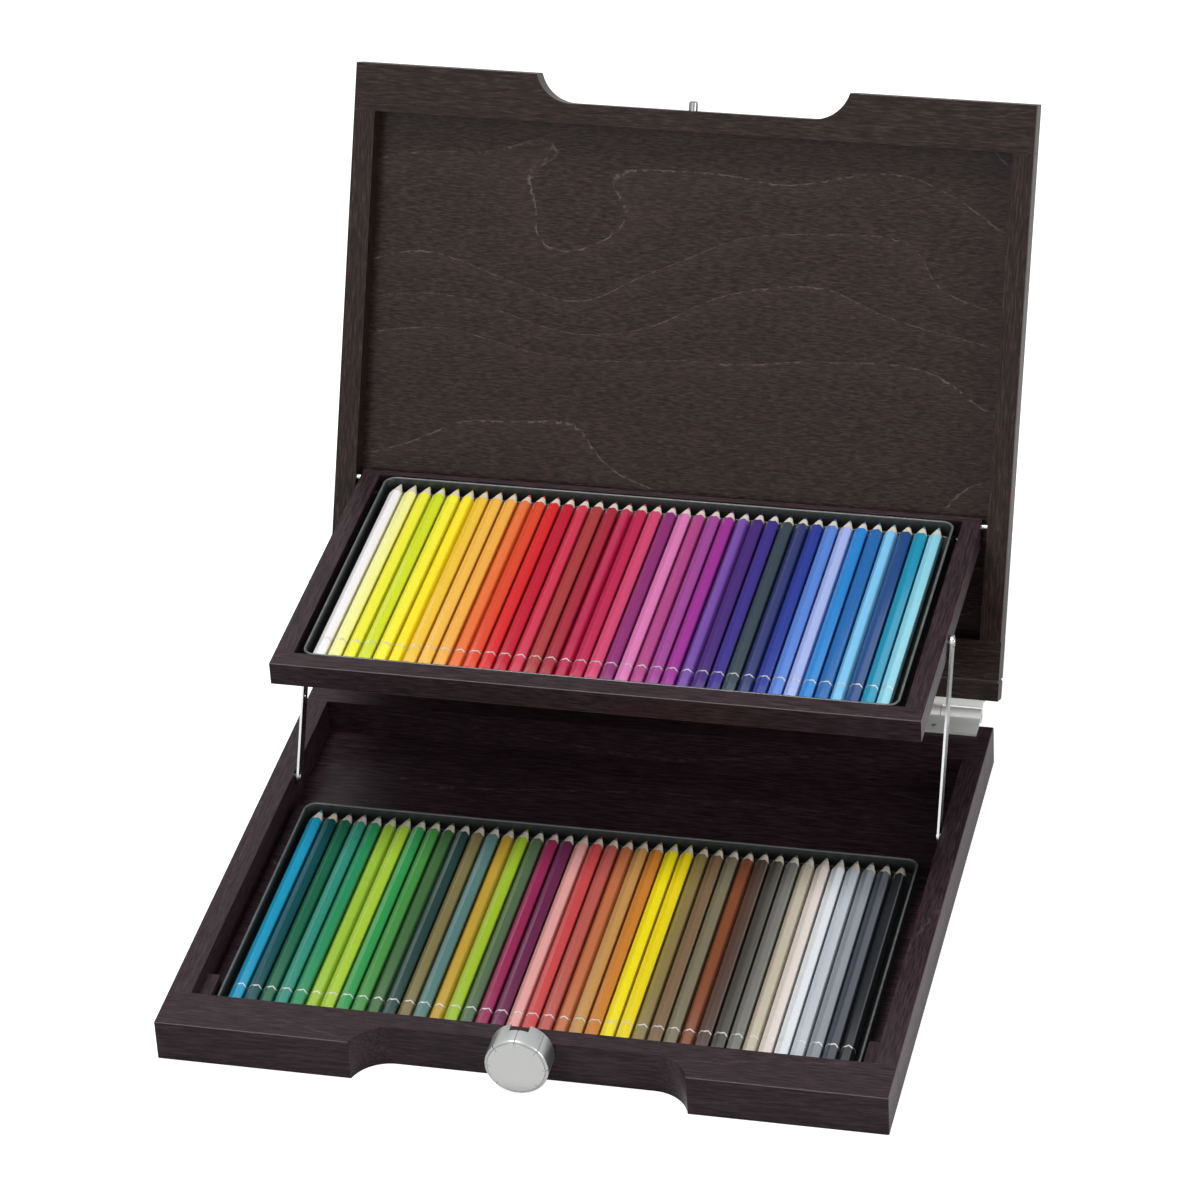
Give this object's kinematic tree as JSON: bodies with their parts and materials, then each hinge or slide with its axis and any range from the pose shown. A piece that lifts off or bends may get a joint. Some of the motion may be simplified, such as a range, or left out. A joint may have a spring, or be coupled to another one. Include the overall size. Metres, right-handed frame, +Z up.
{
  "type": "pencil case",
  "caption": "Hinged dark wood box of coloured pencils in flat tins; opening the lid lifts the upper tray level on steel links, and a turning knob catches the lid shut.",
  "frame": {"origin": "centre of the base's underside", "axes": "+Z up, +Y from the knob at the front to the hinges at the rear, +X along the front to the right"},
  "size_m": [0.38, 0.4983, 0.3213],
  "materials": {
    "stained_wood": "dark stained open-pored wood, satin lacquer",
    "veneer_panel": "dark stained veneer, satin lacquer",
    "tenon_wood": "bare beech",
    "tin": "dark grey-green satin enamel",
    "liner": "matt black",
    "satin_aluminium": "satin anodised",
    "steel": "bright zinc plate",
    "chrome": "polished",
    "paint_upper_yellow": "gloss lacquered pencils, whites and yellows to oranges",
    "paint_upper_red": "gloss lacquered pencils, reds",
    "paint_upper_violet": "gloss lacquered pencils, pinks and violets",
    "paint_upper_blue": "gloss lacquered pencils, blues",
    "paint_lower_green": "gloss lacquered pencils, greens",
    "paint_lower_brown": "gloss lacquered pencils, red browns",
    "paint_lower_earth": "gloss lacquered pencils, earth tones",
    "paint_lower_grey": "gloss lacquered pencils, greys and black"
  },
  "bodies": {
    "base": {"base_front_rail": "stained_wood", "base_rear_rail": "stained_wood", "base_left_rail": "stained_wood", "base_right_rail": "stained_wood", "base_floor": "veneer_panel", "base_tenons": "tenon_wood", "tray_rest_blocks": "stained_wood", "lower_tin": "tin", "lower_liner": "liner", "lower_pencils_green": "paint_lower_green", "lower_pencils_brown": "paint_lower_brown", "lower_pencils_earth": "paint_lower_earth", "lower_pencils_grey": "paint_lower_grey", "hinge_base_leaves": "satin_aluminium", "hinge_pins": "steel", "link_base_pins": "steel", "knob_screw": "steel"},
    "lid": {"lid_front_rail": "stained_wood", "lid_left_rail": "stained_wood", "lid_right_rail": "stained_wood", "lid_rear_rail": "stained_wood", "lid_hinge_rail": "stained_wood", "lid_panel": "veneer_panel", "lid_tenons": "tenon_wood", "hinge_lid_leaves": "satin_aluminium", "catch_pin": "chrome", "tray_pivot_pins": "steel"},
    "tray": {"tray_front_rail": "stained_wood", "tray_rear_rail": "stained_wood", "tray_left_rail": "stained_wood", "tray_right_rail": "stained_wood", "tray_floor": "veneer_panel", "link_tray_pins": "steel", "upper_tin": "tin", "upper_liner": "liner", "upper_pencils_yellow": "paint_upper_yellow", "upper_pencils_red": "paint_upper_red", "upper_pencils_violet": "paint_upper_violet", "upper_pencils_blue": "paint_upper_blue"},
    "link_left": {"left_link": "steel"},
    "link_right": {"right_link": "steel"},
    "knob": {"knob_body": "satin_aluminium", "knob_cap": "satin_aluminium"}
  },
  "joints": [
    {"name": "lid_hinge", "type": "hinge", "parent": "base", "child": "lid", "pos_m": [0, 0.1709, 0.02425], "axis": [1, 0, 0], "range_deg": [0, 117]},
    {"name": "tray_pivot", "type": "hinge", "parent": "lid", "child": "tray", "pos_m": [0, 0.21976, 0.11518], "axis": [1, 0, 0], "range_deg": [-117, 0]},
    {"name": "link_left_pivot", "type": "hinge", "parent": "base", "child": "link_left", "pos_m": [-0.1763, 0.0654, 0.01855], "axis": [1, 0, 0], "range_deg": [0, 117]},
    {"name": "link_right_pivot", "type": "hinge", "parent": "base", "child": "link_right", "pos_m": [0.1763, 0.0654, 0.01855], "axis": [1, 0, 0], "range_deg": [0, 117]},
    {"name": "knob_turn", "type": "hinge", "parent": "base", "child": "knob", "pos_m": [0, -0.155, 0.0185], "axis": [0, 1, 0], "range_deg": [0, 90]}
  ],
  "couplings": [
    {"joint": "tray_pivot", "follows": "lid_hinge", "ratio": -1},
    {"joint": "link_left_pivot", "follows": "lid_hinge", "ratio": 1},
    {"joint": "link_right_pivot", "follows": "lid_hinge", "ratio": 1}
  ]
}
